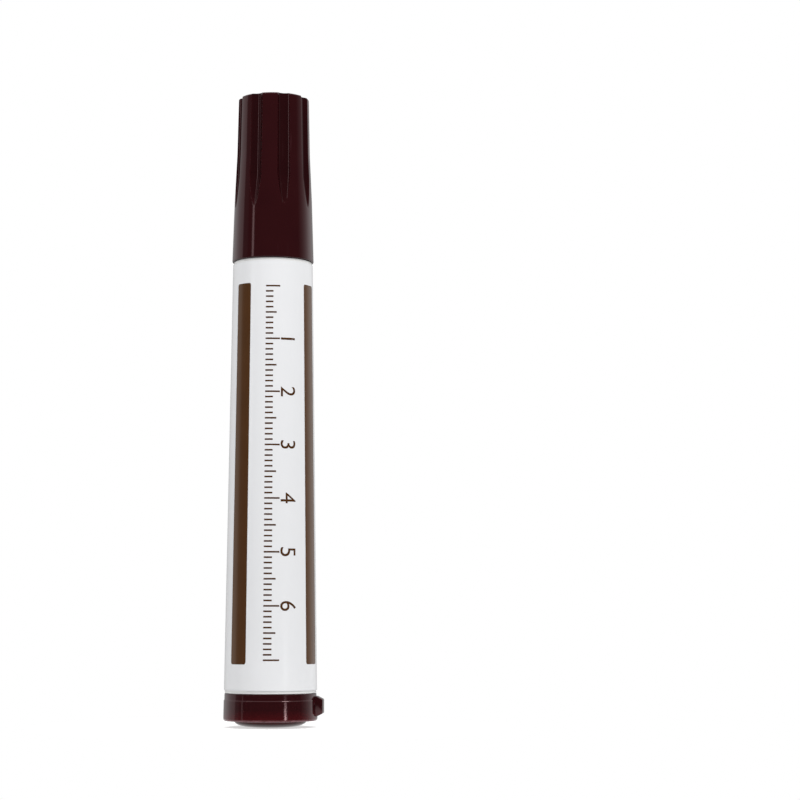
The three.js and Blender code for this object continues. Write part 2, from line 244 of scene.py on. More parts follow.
def plastic(name, colour, gloss, drift=0.25, spread=0.1, scratches=0.3, peel=0.02, sheen=(1, 1, 1),
            edge=None, thin_streaks_and_foot_glow=None, flutes=None):
    """A moulded plastic: skin and scratches, and for some a painted edge reflection, a painted foot glow
    and painted flute shade.
    """
    material, tree, shader = start_material(name)
    look = {"Colour": (*colour, 1.0), "Drift": drift, "Gloss": gloss, "Gloss Spread": spread}
    skin = use(tree, skin_group, look)
    body = skin["Colour"]
    # Painted glow of floor bounce light, redder towards the foot.
    if thin_streaks_and_foot_glow:
        body = redder_foot(tree, body, *thin_streaks_and_foot_glow)
    # Painted shade, darker in the flutes.
    if flutes:
        body = darker_flutes(tree, body, *flutes)
    wear_and_reflection_mask = use(tree, scratch_group, {"Amount": scratches})["Mask"]
    wear_and_reflection_colour = tuple(WORN_SHARE * part + WORN_LIFT for part in colour)
    # Painted reflection of the floor on one edge; the scratches take its pale colour too.
    if edge:
        wear_and_reflection_colour, level, reach = edge
        edge_reflection_mask = use(tree, edge_reflection_group, {"Level": level * MM, "Reach": reach * MM})["Mask"]
        wear_and_reflection_mask = calc(tree, "MAXIMUM", wear_and_reflection_mask, edge_reflection_mask)
    tree.links.new(mix_colours(tree, wear_and_reflection_mask, body, (*wear_and_reflection_colour, 1.0)), shader["Base Color"])
    dull = calc(tree, "MULTIPLY_ADD", wear_and_reflection_mask, WEAR_DULLS, skin["Roughness"])
    tree.links.new(dull, shader["Roughness"])
    grain = {"Height": skin["Height"], "Strength": PEEL_STRENGTH, "Distance": peel * MM}
    tree.links.new(put(tree, "ShaderNodeBump", grain).outputs[0], shader["Normal"])
    shader["IOR"].default_value = PLASTIC_IOR
    shader["Specular Tint"].default_value = (*sheen, 1.0)
    return material


# Painted reflection: a pale pink band on the plug's lower edge that stands for the white floor mirrored
# there.
PAINTED_EDGE_REFLECTION = ((0.2, 0.085, 0.1), 1.3, 0.3)
# Painted glow: a redder colour near the plug's foot that stands for light bounced up from the floor.
PAINTED_FOOT_GLOW = ((0.058, 0.0042, 0.0055), 1.3, 3.4)
# Painted shade: the flutes darken to this tone at this depth, where the hollows would be shaded.
PAINTED_FLUTE_SHADE = (0.35, 0.74)
# The mahogany carries painted light: a pale painted reflection on the plug's lower edge, a red painted glow
# at its foot and painted shade in the cap's flutes.
mahogany = plastic("mahogany_gloss", (0.0245, 0.0036, 0.0046), 0.09, spread=0.05, scratches=0.08,
                   peel=0.003, sheen=(1.0, 0.66, 0.68), edge=PAINTED_EDGE_REFLECTION, thin_streaks_and_foot_glow=PAINTED_FOOT_GLOW,
                   flutes=PAINTED_FLUTE_SHADE)
white = plastic("white_satin", (0.84, 0.84, 0.83), 0.38, drift=0.03)
nose_white = plastic("nose_white", (0.76, 0.76, 0.745), 0.42, drift=0.04)
natural = plastic("natural_milky", (0.72, 0.70, 0.64), 0.42, drift=0.06)
film_white = plastic("film_white", (0.825, 0.83, 0.845), 0.2, drift=0.03, scratches=0.12, peel=0.012)
film_ink = plastic("film_brown_ink", (0.074, 0.028, 0.0085), 0.2, drift=0.3, scratches=0.12,
                   peel=0.012, sheen=(1.0, 0.84, 0.66))
print("plastics:", [m.name for m in (mahogany, white, nose_white, natural, film_white, film_ink)])

# %% [markdown]
# ## Fibre, rubber and steel
# The nib is a rod of parallel fibres soaked with stain, so its noise is drawn out along Z. The washer
# is a soft black rubber with a dusty grain. The spring's wire keeps the fine drawing lines of its die,
# and the ball is polished with a few dull spots.

# %% Nib, rubber and steel materials
TONE_LOW, TONE_HIGH = 0.3, 0.7
GRAIN_STRENGTH = 0.5


def two_tone(name, dark, light, scale, rough, metal=0.0, bump_mm=0.03):
    """A finish that swings between two colours and two roughnesses along one stretched noise."""
    material, tree, shader = start_material(name)
    drawn = put(tree, "ShaderNodeMapping", {"Vector": own_place(tree), "Scale": scale}).outputs[0]
    grain = noise(tree, drawn, 1.0, 3.0)
    share = remap(tree, grain, TONE_LOW, TONE_HIGH)
    tree.links.new(mix_colours(tree, share, (*dark, 1.0), (*light, 1.0)), shader["Base Color"])
    tree.links.new(remap(tree, grain, TONE_LOW, TONE_HIGH, *rough), shader["Roughness"])
    relief = {"Height": grain, "Strength": GRAIN_STRENGTH, "Distance": bump_mm * MM}
    tree.links.new(put(tree, "ShaderNodeBump", relief).outputs[0], shader["Normal"])
    shader["Metallic"].default_value = metal
    return material


fibre = two_tone("nib_fibre", dark=(0.05, 0.014, 0.009), light=(0.16, 0.055, 0.035),
                 scale=(5200, 5200, 260), rough=(0.75, 0.95), bump_mm=0.08)
rubber = two_tone("washer_rubber", dark=(0.03, 0.03, 0.032), light=(0.06, 0.06, 0.063),
                  scale=(1800, 1800, 1800), rough=(0.6, 0.85))
wire_steel = two_tone("wire_steel", dark=(0.45, 0.45, 0.47), light=(0.62, 0.62, 0.64),
                      scale=(3000, 3000, 900), rough=(0.2, 0.38), metal=1.0, bump_mm=0.005)
ball_steel = two_tone("ball_steel", dark=(0.58, 0.58, 0.6), light=(0.68, 0.68, 0.7),
                      scale=(500, 500, 500), rough=(0.08, 0.2), metal=1.0, bump_mm=0.002)
print("other finishes:", [m.name for m in (fibre, rubber, wire_steel, ball_steel)])

# %% [markdown]
# ## Outlines
# Nearly every piece of a pen is turned: one outline of radius and height, spun about the axis. Drawing
# the outline first keeps the pen's drawing visible in the code. Moulded corners are never knife sharp,
# so `soften` rounds any corner that carries a third number, the reach of its rounding. Just outside
# each rounding it sets a holding point, so that smooth shading bends in the rounding only and the walls
# beside it mirror straight lines.

# %% Outline helpers
ROUND_STEPS, HOLD = 5, 1.3


def soften(corners):
    """Rounds an outline's corners: each is (radius, height) or (radius, height, reach of rounding)."""
    points = []
    for i, corner in enumerate(corners):
        here = Vector(corner[:2])
        if len(corner) < 3:
            points.append(here)
            continue
        before = Vector(corners[i - 1][:2]) - here
        after = Vector(corners[(i + 1) % len(corners)][:2]) - here
        start = before.normalized() * min(corner[2], before.length / 2 / HOLD)
        end = after.normalized() * min(corner[2], after.length / 2 / HOLD)
        points.append(here + start * HOLD)
        for step in range(ROUND_STEPS + 1):
            t = step / ROUND_STEPS
            points.append(here + start * (1 - t) ** 2 + end * t ** 2)
        points.append(here + end * HOLD)
    return points


def arc(radius, height, width, rise, start, end, steps=12):
    """Outline points along an ellipse about (radius, height), from one angle to another."""
    turns = [math.radians(start + (end - start) * i / steps) for i in range(steps + 1)]
    return [(radius + width * math.cos(t), height + rise * math.sin(t)) for t in turns]


def climb(start, end, steps):
    """Outline points from start to end, in even steps, without the last one."""
    return [tuple(Vector(start).lerp(Vector(end), i / steps)) for i in range(steps)]


print("a softened square corner has", len(soften([(0, 0), (1, 0, 0.2), (1, 1)])), "points")

# %% [markdown]
# ## A lathe made of Geometry Nodes
# A Screw modifier could spin an outline, but it can't cut the cap's flutes. This tree does both. It
# lays out a grid with one row for each outline point and one column for each facet, and moves every
# grid point to its place round the axis. A flute is the mark of a round cutter that runs along the
# wall: where the cutter reaches deeper than the wall, the smaller of the two radii wins, with a small
# smooth blend that stands for the moulded edge. The cutter follows a straight, slightly sloped line,
# its nose is a long parabola and it lifts out of the wall there, so each flute ends in a soft tip.
#
# A flute's edge would look jagged where it crosses the grid, so the columns bend with it: at each row
# the tree works out where cutter and wall meet, puts the same column there all the way up, and crowds
# the next columns towards it, so that the moulded edge is really round. Last, each point keeps a note
# of how far the cutter took it in, which the material reads to paint shade into the flutes.

# %% The lathe tree
EDGE_COLUMN = 0.625
EDGE_CROWD = 1.5
GATHERED = 0.03
WELD = 1e-6


def finish_tree(tree, shape, given, result):
    """Ends a geometry tree: instances become real, and the material is set."""
    real = put(tree, "GeometryNodeRealizeInstances", {0: shape}).outputs[0]
    dressed = put(tree, "GeometryNodeSetMaterial", {"Geometry": real, "Material": given["Material"]})
    tree.links.new(dressed.outputs[0], result[0])


def build_lathe():
    inputs = [("Geometry", "Geometry"), ("Facets", "Int"), ("Flutes", "Int"), ("Material", "Material")]
    for label in ("Turn", "Axis", "Slope", "Top", "Foot", "Nose", "Lift", "Cutter", "Edge"):
        inputs.append(("Flute " + label, "Float"))
    inputs.append(("Gather From", "Float"))
    tree, given, result = new_tree("lathe", "GeometryNodeTree", inputs, [("Geometry", "Geometry")])
    outline = given["Geometry"]
    counted = put(tree, "GeometryNodeAttributeDomainSize", {0: outline}, component="MESH")
    rows = counted.outputs["Point Count"]
    columns = calc(tree, "ADD", given["Facets"], 1.0)
    grid = put(tree, "GeometryNodeMeshGrid", {"Vertices X": columns, "Vertices Y": rows})
    index = put(tree, "GeometryNodeInputIndex").outputs[0]
    row = calc(tree, "MODULO", index, rows)
    column = calc(tree, "FLOOR", calc(tree, "DIVIDE", index, rows))

    # What the outline says for this row: its radius, its height and whether its wall takes flutes.
    at_row = {"Geometry": outline, "Index": row}
    spot = put(tree, "GeometryNodeSampleIndex", at_row, data_type="FLOAT_VECTOR")
    tree.links.new(put(tree, "GeometryNodeInputPosition").outputs[0], spot.inputs["Value"])
    drawn = put(tree, "ShaderNodeSeparateXYZ", {0: spot.outputs[0]}).outputs
    radius, height = drawn["X"], drawn["Z"]
    mark = put(tree, "GeometryNodeInputNamedAttribute", {"Name": "fluted"}, data_type="FLOAT")
    taken = put(tree, "GeometryNodeSampleIndex", at_row, data_type="FLOAT")
    tree.links.new(mark.outputs[0], taken.inputs["Value"])
    wall = taken.outputs[0]

    # The cutter's reach at this row, and the angle at which it meets the wall.
    full = calc(tree, "ADD", given["Flute Foot"], given["Flute Nose"])
    grown = remap(tree, height, given["Flute Foot"], full)
    cutter = calc(tree, "MULTIPLY", calc(tree, "SQRT", grown), given["Flute Cutter"])
    below = calc(tree, "SUBTRACT", given["Flute Top"], height)
    axis = calc(tree, "MULTIPLY_ADD", below, given["Flute Slope"], given["Flute Axis"])
    axis = calc(tree, "MULTIPLY_ADD", calc(tree, "SUBTRACT", 1.0, grown), given["Flute Lift"], axis)
    bite = calc(tree, "MULTIPLY", cutter, cutter)
    both = calc(tree, "MULTIPLY_ADD", radius, radius, calc(tree, "MULTIPLY", axis, axis))
    across = calc(tree, "MULTIPLY", calc(tree, "MULTIPLY", radius, axis), 2.0)
    cosine = calc(tree, "DIVIDE", calc(tree, "SUBTRACT", both, bite), across)
    meets = calc(tree, "ARCCOSINE", calc(tree, "MINIMUM", cosine, 1.0))

    # Columns: an even share of each pitch away from the flutes, gathered along their edges elsewhere.
    half = calc(tree, "DIVIDE", math.pi, given["Flutes"])
    even = calc(tree, "MULTIPLY", half, EDGE_COLUMN)
    gather = remap(tree, height, given["Gather From"], given["Flute Foot"], 1.0, GATHERED)
    edge = calc(tree, "MAXIMUM", meets, calc(tree, "MULTIPLY", even, gather))
    edge = calc(tree, "MULTIPLY_ADD", calc(tree, "SUBTRACT", edge, even), wall, even)
    halves = calc(tree, "MULTIPLY", given["Flutes"], 2.0)
    walk = calc(tree, "DIVIDE", calc(tree, "MULTIPLY", column, halves), given["Facets"])
    share = calc(tree, "WRAP", walk, 1.0, -1.0)
    middle = calc(tree, "SUBTRACT", walk, share)
    middle = calc(tree, "MULTIPLY_ADD", middle, half, given["Flute Turn"])
    size = calc(tree, "ABSOLUTE", share)
    near = calc(tree, "DIVIDE", calc(tree, "MINIMUM", size, EDGE_COLUMN), EDGE_COLUMN)
    within = calc(tree, "POWER", calc(tree, "SUBTRACT", 1.0, near), EDGE_CROWD)
    inside = calc(tree, "MULTIPLY", calc(tree, "SUBTRACT", 1.0, within), edge)
    far = calc(tree, "MAXIMUM", calc(tree, "SUBTRACT", size, EDGE_COLUMN), 0.0)
    beyond = calc(tree, "DIVIDE", far, 1 - EDGE_COLUMN)
    outside = calc(tree, "MULTIPLY", beyond, beyond)
    off = calc(tree, "MULTIPLY_ADD", outside, calc(tree, "SUBTRACT", half, edge), inside)
    angle = calc(tree, "MULTIPLY_ADD", off, calc(tree, "SIGN", share), middle)

    # The radius that the cutter leaves there, blended into the wall.
    side = calc(tree, "MULTIPLY", axis, calc(tree, "SINE", off))
    square = calc(tree, "SUBTRACT", bite, calc(tree, "MULTIPLY", side, side))
    root = calc(tree, "SQRT", calc(tree, "MAXIMUM", square, 0.0))
    missed = calc(tree, "LESS_THAN", square, 0.0)
    along = calc(tree, "MULTIPLY_ADD", axis, calc(tree, "COSINE", off), missed)
    left = calc(tree, "SMOOTH_MIN", radius, calc(tree, "SUBTRACT", along, root), given["Flute Edge"])
    cuts = calc(tree, "MULTIPLY", wall, calc(tree, "GREATER_THAN", height, given["Flute Foot"]))
    shift = calc(tree, "MULTIPLY", calc(tree, "SUBTRACT", left, radius), cuts)
    final = calc(tree, "ADD", radius, shift)

    east = calc(tree, "MULTIPLY", final, calc(tree, "COSINE", angle))
    north = calc(tree, "MULTIPLY", final, calc(tree, "SINE", angle))
    round_place = {"Geometry": grid.outputs["Mesh"], "Position": point(tree, east, north, height)}
    spun = put(tree, "GeometryNodeSetPosition", round_place).outputs[0]
    note = {"Geometry": spun, "Name": "hollow", "Value": calc(tree, "SUBTRACT", radius, final)}
    noted = put(tree, "GeometryNodeStoreNamedAttribute", note, data_type="FLOAT").outputs[0]
    closed = put(tree, "GeometryNodeMergeByDistance", {"Geometry": noted, "Distance": WELD}).outputs[0]
    finish_tree(tree, closed, given, result)
    return tree


lathe = build_lathe()
print("lathe inputs:", [item.name for item in lathe.interface.items_tree if item.in_out == "INPUT"])

# %% [markdown]
# ## From a tree to a piece
# A tree's result becomes a plain mesh with `new_from_object`, and the carrier goes away again. A
# finished piece then gets smooth shading with sharp corners kept, rides on its body, and takes the
# place of its solid.

# %% Running a tree and finishing a piece
def plain_mesh(thing):
    """The mesh that an object's modifiers or text make."""
    graph = bpy.context.evaluated_depsgraph_get()
    return bpy.data.meshes.new_from_object(thing.evaluated_get(graph))


def run_tree(tree, base, sizes):
    """Runs a geometry tree on a base mesh, with its inputs set by identifier, for a plain mesh."""
    carrier = bpy.data.objects.new("carrier", base)
    bpy.context.scene.collection.objects.link(carrier)
    modifier = carrier.modifiers.new("shape", "NODES")
    modifier.node_group = tree
    items = [item for item in tree.interface.items_tree if item.in_out == "INPUT"]
    sockets = {item.name: item.identifier for item in items}
    for name, value in sizes.items():
        modifier[sockets[name]] = value
    mesh = plain_mesh(carrier)
    carrier.modifiers.remove(modifier)
    bpy.data.objects.remove(carrier)
    return mesh


def turn(outline, material, facets=144, fluted=None, sizes=None):
    """Spins an outline, in millimetres, that runs anticlockwise from axis to axis or closes on itself."""
    points = [Vector(p) for p in outline]
    if points[0].x > 0:
        points.append(points[0])
    base = bpy.data.meshes.new("outline")
    chain = [(i, i + 1) for i in range(len(points) - 1)]
    base.from_pydata([(p.x * MM, 0, p.y * MM) for p in points], chain, [])
    marks = base.attributes.new("fluted", "FLOAT", "POINT")
    marks.data.foreach_set("value", [1.0 if fluted and fluted(p.x, p.y) else 0.0 for p in points])
    given = {"Facets": facets, "Flutes": 1, "Material": material}
    given.update(sizes or {})
    return run_tree(lathe, base, given)


def finish_piece(name, mesh, node, body, sharp=32):
    """Shades a mesh, gives it an object, and lets it ride and stand for its solid."""
    mesh.name = name
    mesh.shade_smooth()
    mesh.set_sharp_from_angle(angle=math.radians(sharp))
    piece = bpy.data.objects.new(name, mesh)
    bpy.context.scene.collection.objects.link(piece)
    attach(piece, body)
    if node:
        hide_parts(node)
    print(f"{name}: {len(mesh.polygons)} faces, rides on {body}")
    return piece


def combine(mesh, tool, operation):
    """Joins a closed tool mesh to a closed piece, or cuts it out of it."""
    blank = bpy.data.objects.new("blank", mesh)
    cutter = bpy.data.objects.new("cutter", tool)
    for thing in (blank, cutter):
        bpy.context.scene.collection.objects.link(thing)
    modifier = blank.modifiers.new("combine", "BOOLEAN")
    modifier.object = cutter
    modifier.operation = operation
    modifier.solver = "EXACT"
    made = plain_mesh(blank)
    blank.modifiers.remove(modifier)
    bpy.data.objects.remove(blank)
    bpy.data.objects.remove(cutter)
    return made


def mesh_of(shape, name, material=None):
    """Turns a bmesh into a mesh and frees it."""
    mesh = bpy.data.meshes.new(name)
    shape.to_mesh(mesh)
    shape.free()
    if material:
        mesh.materials.append(material)
    return mesh


# %% [markdown]
# ## The tail plug
# The plug closes the barrel's wide end. It has a rounded foot with a flat middle to stand on, a drafted
# band with a fine step line, a hollow ribbed spigot that grips the barrel, and one lug that keeps the
# pen from rolling away. The turned part comes off the lathe. The lug is a bevelled block, joined with a
# boolean so that the plug stays one closed moulding.

# %% Tail plug
BARREL_TAIL, SHOULDER = 6.35, 88.1
TAIL_RADIUS, FRONT_RADIUS, BARREL_WALL = 8.6, 7.45, 1.2
FOOT_FLAT, FOOT_ROUND, FOOT_HEIGHT = 3.2, 3.65, 1.2
FOOT_RADIUS = FOOT_FLAT + FOOT_ROUND
BAND_RADIUS, BAND_TOP = 8.85, 6.3
SPIGOT_TOP, SPIGOT_BORE, PLUG_FLOOR = 13.8, 5.925, 2.4
PRESS_GAP, RIB_HEIGHT, RIB_HALF = 0.05, 0.12, 0.4
RIB_LEVELS = (7.467, 9.7, 11.933)
FOOT_MARK = 0.15
LUG_TURN, LUG_FACE, LUG_ROOT, LUG_HALF, LUG_BEVEL = 74, 10.0, 7.85, 1.5, 0.16


def barrel_radius(height):
    """Outer radius of the bare barrel at a height on the pen."""
    return TAIL_RADIUS + (FRONT_RADIUS - TAIL_RADIUS) * (height - BARREL_TAIL) / (SHOULDER - BARREL_TAIL)


def plug_outline():
    ribs = []
    for middle in RIB_LEVELS:
        root = barrel_radius(middle) - BARREL_WALL - PRESS_GAP - RIB_HEIGHT
        crest = (root + RIB_HEIGHT, middle, 0.1)
        ribs += [(root, middle - RIB_HALF), crest, (root, middle + RIB_HALF)]
    return soften([
        (0, FOOT_MARK), (0.9, FOOT_MARK, 0.1), (1.1, 0, 0.1),
        *arc(FOOT_FLAT, FOOT_HEIGHT, FOOT_ROUND, FOOT_HEIGHT, -90, 0),
        (FOOT_RADIUS, FOOT_HEIGHT + 0.02), (BAND_RADIUS, FOOT_HEIGHT, 0.34),
        (8.78, 4.98, 0.03), (8.67, 5.13, 0.03), (8.64, BAND_TOP, 0.12), (7.23, BAND_TOP, 0.1),
        *ribs, (7.125, SPIGOT_TOP - 0.8), (6.725, SPIGOT_TOP, 0.15),
        (SPIGOT_BORE, SPIGOT_TOP, 0.2), (SPIGOT_BORE, PLUG_FLOOR, 0.6), (0, PLUG_FLOOR)])


def directions(angle):
    """Out from the pen's axis at an angle, and round it."""
    return Vector((math.cos(angle), math.sin(angle), 0)), Vector((-math.sin(angle), math.cos(angle), 0))


def lug_block():
    """The anti-roll lug: a block with sloped ends and bevelled edges, rooted inside the band."""
    out, along = directions(math.radians(LUG_TURN - 90))
    side = [(LUG_ROOT, 2.0), (BAND_RADIUS, 2.0), (LUG_FACE, 2.6),
            (LUG_FACE, 5.2), (BAND_RADIUS, 5.8), (LUG_ROOT, 5.8)]
    shape = bmesh.new()
    rings = []
    for half in (-LUG_HALF, LUG_HALF):
        corners = [out * r + along * half + Vector((0, 0, z)) for r, z in side]
        rings.append([shape.verts.new(corner * MM) for corner in corners])
    for ring in rings:
        shape.faces.new(ring)
    for i in range(len(side)):
        j = (i + 1) % len(side)
        shape.faces.new((rings[0][i], rings[0][j], rings[1][j], rings[1][i]))
    bmesh.ops.recalc_face_normals(shape, faces=shape.faces)
    bmesh.ops.bevel(shape, geom=shape.edges, offset=LUG_BEVEL * MM, segments=4, profile=0.5,
                    affect="EDGES")
    return mesh_of(shape, "lug", mahogany)


plug_mesh = combine(turn(plug_outline(), mahogany), lug_block(), "UNION")
finish_piece("tail_plug_moulding", plug_mesh, "tail_plug", "barrel_body")

# %% [markdown]
# ## The barrel
# The barrel is a white tapered tube. Most of it is under the film, but its two ends show as thin bright
# rings, and with the cap off its shoulder, neck and snap bead show too. It is a plain turning, so the
# lathe makes it whole, inside and out.

# %% Barrel
NECK_RADIUS, NECK_BORE, NECK_TOP, BEAD_RADIUS = 6.2, 4.9, 96.1, 6.4
BORE_TOP = 85.1
barrel_outline = soften([
    (TAIL_RADIUS - BARREL_WALL, BARREL_TAIL, 0.15), (TAIL_RADIUS, BARREL_TAIL, 0.15),
    (FRONT_RADIUS, SHOULDER, 0.18), (NECK_RADIUS, SHOULDER, 0.25),
    (NECK_RADIUS, 92.1), (BEAD_RADIUS, 92.5, 0.25), (BEAD_RADIUS, 92.9, 0.25), (NECK_RADIUS, 93.3),
    (NECK_RADIUS, NECK_TOP - 0.4, 0.2), (NECK_RADIUS - 0.4, NECK_TOP, 0.2),
    (NECK_BORE, NECK_TOP, 0.15), (NECK_BORE, 86.3, 0.3),
    (barrel_radius(BORE_TOP) - BARREL_WALL, BORE_TOP, 0.4)])
finish_piece("stain_barrel", turn(barrel_outline, white), "barrel", "barrel_body")

# %% [markdown]
# ## The film round the barrel
# The print is on a thin white film that wraps the barrel once and meets itself at the back. Its section
# is a thin strip that follows the barrel's taper, swept from one side of the seam round to the other
# and closed at both ends, so the seam is a real slit.

# %% Film
FILM_FOOT, FILM_TOP, FILM_OUT, FILM_THICK = 6.95, 87.5, 0.15, 0.12
HALF_SEAM = 0.25


def film_radius(height):
    """Radius of the film's outer face at a height on the pen."""
    return barrel_radius(height) + FILM_OUT


def film_mesh(steps=180, rows=40):
    levels = [z for _, z in climb((0, FILM_FOOT), (0, FILM_TOP), rows)] + [FILM_TOP]
    outer = [(film_radius(z), z) for z in levels]
    inner = [(r - FILM_THICK, z) for r, z in reversed(outer)]
    section = outer + inner
    slit = HALF_SEAM / film_radius(FILM_FOOT)
    shape = bmesh.new()
    rings = []
    for i in range(steps + 1):
        angle = math.pi / 2 + slit + (2 * math.pi - 2 * slit) * i / steps
        out = directions(angle)[0]
        rings.append([shape.verts.new((out * r + Vector((0, 0, z))) * MM) for r, z in section])
    for here, there in zip(rings, rings[1:]):
        for a in range(len(section)):
            b = (a + 1) % len(section)
            shape.faces.new((here[a], there[a], there[b], here[b]))
    for ring in (rings[0], rings[-1]):
        for a in range(rows):
            b = len(section) - 1 - a
            shape.faces.new((ring[a], ring[a + 1], ring[b - 1], ring[b]))
    bmesh.ops.recalc_face_normals(shape, faces=shape.faces)
    return mesh_of(shape, "film", film_white)


finish_piece("printed_film", film_mesh(), "barrel_label", "barrel_body")

# %% [markdown]
# ## The print
# Two brown bars run the length of the film, and between them is a plain centimetre scale with numbers.
# The marks could be a texture, but printed shapes keep clean edges at any distance. The numbers start
# as flat text. The tree adds the bars and the repeated ticks to them, all flat, as a printer's sheet
# would be, and wraps the sheet on the barrel's cone near its end. Each mark then gets the thickness of
# its ink.

# %% Numbers
SHEET_RADIUS = 8.2
SCALE_TOP = 82.6
NUMBERS, NUMBER_PITCH, NUMBER_SIZE, NUMBER_ASIDE = range(1, 7), 10, 4.3, 1.75


def flat_number(number):
    """One number as flat text, its middle at the origin."""
    text = bpy.data.curves.new("number", "FONT")
    text.body = str(number)
    text.size = NUMBER_SIZE * MM
    text.align_x = "CENTER"
    text.align_y = "CENTER"
    holder = bpy.data.objects.new("number", text)
    bpy.context.scene.collection.objects.link(holder)
    flat = plain_mesh(holder)
    bpy.data.objects.remove(holder)
    return flat


def number_mesh():
    """The scale's numbers, flat: x runs round the film, y is the height on the pen."""
    sheet = bmesh.new()
    for number in NUMBERS:
        flat = flat_number(number)
        level = (SCALE_TOP - NUMBER_PITCH * number) * MM
        for vertex in flat.vertices:
            across, up, _ = vertex.co
            vertex.co = (NUMBER_ASIDE * MM + up, level - across, 0)
        sheet.from_mesh(flat)
    return mesh_of(sheet, "numbers")


numbers = number_mesh()
print("numbers, flat:", len(numbers.polygons), "faces")

# %% Print tree
BAR_COLUMNS, BAR_ROWS, TICK_COLUMNS = 29, 40, 9
TICK_GROWS = 0.45


def build_print():
    inputs = [("Geometry", "Geometry"), ("Ticks", "Int"), ("Material", "Material")]
    for label in ("Bar Width", "Bar Length", "Bar Corner", "Bar Aside", "Bar Middle", "Tick Pitch",
                  "Tick Width", "Tick Length", "Scale Left", "Scale Top", "Sheet Radius",
                  "Foot Radius", "Top Radius", "Foot", "Top"):
        inputs.append((label, "Float"))
    tree, given, result = new_tree("label_print", "GeometryNodeTree", inputs, [("Geometry", "Geometry")])
    place = put(tree, "GeometryNodeInputPosition").outputs[0]
    flat = put(tree, "ShaderNodeSeparateXYZ", {0: place}).outputs
    sheet = put(tree, "GeometryNodeJoinGeometry")

    # One bar, with its ends rounded column by column, and its copy on the other side.
    size = {"Size X": given["Bar Width"], "Size Y": 1.0, "Vertices X": BAR_COLUMNS, "Vertices Y": BAR_ROWS}
    grid = put(tree, "GeometryNodeMeshGrid", size).outputs["Mesh"]
    corner = given["Bar Corner"]
    inner = calc(tree, "SUBTRACT", calc(tree, "MULTIPLY", given["Bar Width"], 0.5), corner)
    over = calc(tree, "SUBTRACT", calc(tree, "ABSOLUTE", flat["X"]), inner)
    over = calc(tree, "MAXIMUM", over, 0.0)
    square = calc(tree, "MULTIPLY", corner, corner)
    square = calc(tree, "SUBTRACT", square, calc(tree, "MULTIPLY", over, over))
    drop = calc(tree, "SUBTRACT", corner, calc(tree, "SQRT", calc(tree, "MAXIMUM", square, 0.0)))
    tall = calc(tree, "SUBTRACT", given["Bar Length"], calc(tree, "MULTIPLY", drop, 2.0))
    spot = point(tree, flat["X"], calc(tree, "MULTIPLY", flat["Y"], tall))
    bar = put(tree, "GeometryNodeSetPosition", {"Geometry": grid, "Position": spot}).outputs[0]
    for side in (-1.0, 1.0):
        aside = point(tree, calc(tree, "MULTIPLY", given["Bar Aside"], side), given["Bar Middle"])
        moved = put(tree, "GeometryNodeTransform", {"Geometry": bar, "Translation": aside})
        tree.links.new(moved.outputs[0], sheet.inputs[0])

    # The ticks: every fifth is longer, every tenth is the longest.
    start = point(tree, given["Scale Left"], given["Scale Top"])
    step = point(tree, 0.0, calc(tree, "MULTIPLY", given["Tick Pitch"], -1.0))
    line = {"Count": given["Ticks"], "Start Location": start, "Offset": step}
    points = put(tree, "GeometryNodeMeshLine", line).outputs[0]
    size = {"Size X": 1.0, "Size Y": given["Tick Width"], "Vertices X": TICK_COLUMNS, "Vertices Y": 2}
    dash = put(tree, "GeometryNodeMeshGrid", size).outputs["Mesh"]
    dash = put(tree, "GeometryNodeTransform", {"Geometry": dash, "Translation": (0.5, 0, 0)}).outputs[0]
    index = put(tree, "GeometryNodeInputIndex").outputs[0]
    five = calc(tree, "COMPARE", calc(tree, "MODULO", index, 5.0), 0.0, 0.5)
    ten = calc(tree, "COMPARE", calc(tree, "MODULO", index, 10.0), 0.0, 0.5)
    grown = calc(tree, "MULTIPLY_ADD", ten, TICK_GROWS, 1.0)
    grown = calc(tree, "MULTIPLY_ADD", five, TICK_GROWS, grown)
    stretch = point(tree, calc(tree, "MULTIPLY", grown, given["Tick Length"]), 1.0, 1.0)
    copies = {"Points": points, "Instance": dash, "Scale": stretch}
    ticks = put(tree, "GeometryNodeInstanceOnPoints", copies).outputs[0]
    tree.links.new(ticks, sheet.inputs[0])

    # The numbers, cut fine enough to follow the barrel.
    fine = put(tree, "GeometryNodeTriangulate", {0: given["Geometry"]}).outputs[0]
    fine = put(tree, "GeometryNodeSubdivideMesh", {"Mesh": fine, "Level": 2}).outputs[0]
    tree.links.new(fine, sheet.inputs[0])

    # Wrap the flat sheet on the cone.
    real = put(tree, "GeometryNodeRealizeInstances", {0: sheet.outputs[0]}).outputs[0]
    turn_by = calc(tree, "DIVIDE", flat["X"], given["Sheet Radius"])
    radius = remap(tree, flat["Y"], given["Foot"], given["Top"], given["Foot Radius"],
                   given["Top Radius"], clamp=False)
    round_x = calc(tree, "MULTIPLY", radius, calc(tree, "SINE", turn_by))
    forward = calc(tree, "MULTIPLY", radius, calc(tree, "COSINE", turn_by))
    on_cone = point(tree, round_x, calc(tree, "MULTIPLY", forward, -1.0), flat["Y"])
    wrapped = put(tree, "GeometryNodeSetPosition", {"Geometry": real, "Position": on_cone}).outputs[0]
    finish_tree(tree, wrapped, given, result)
    return tree


print_tree = build_print()
print("print inputs:", len([i for i in print_tree.interface.items_tree if i.in_out == "INPUT"]))

# %% Print the film
INK_OUT, INK_THICK = 0.014, 0.016
BAR_FROM, BAR_TO = math.radians(41.0), math.radians(66.5)
BAR_LENGTH, BAR_CORNER, BAR_MIDDLE = 71.5, 0.4, 47.55
TICKS, TICK_PITCH, TICK_WIDTH, TICK_LENGTH, SCALE_LEFT = 71, 1.0, 0.3, 1.5, -2.6


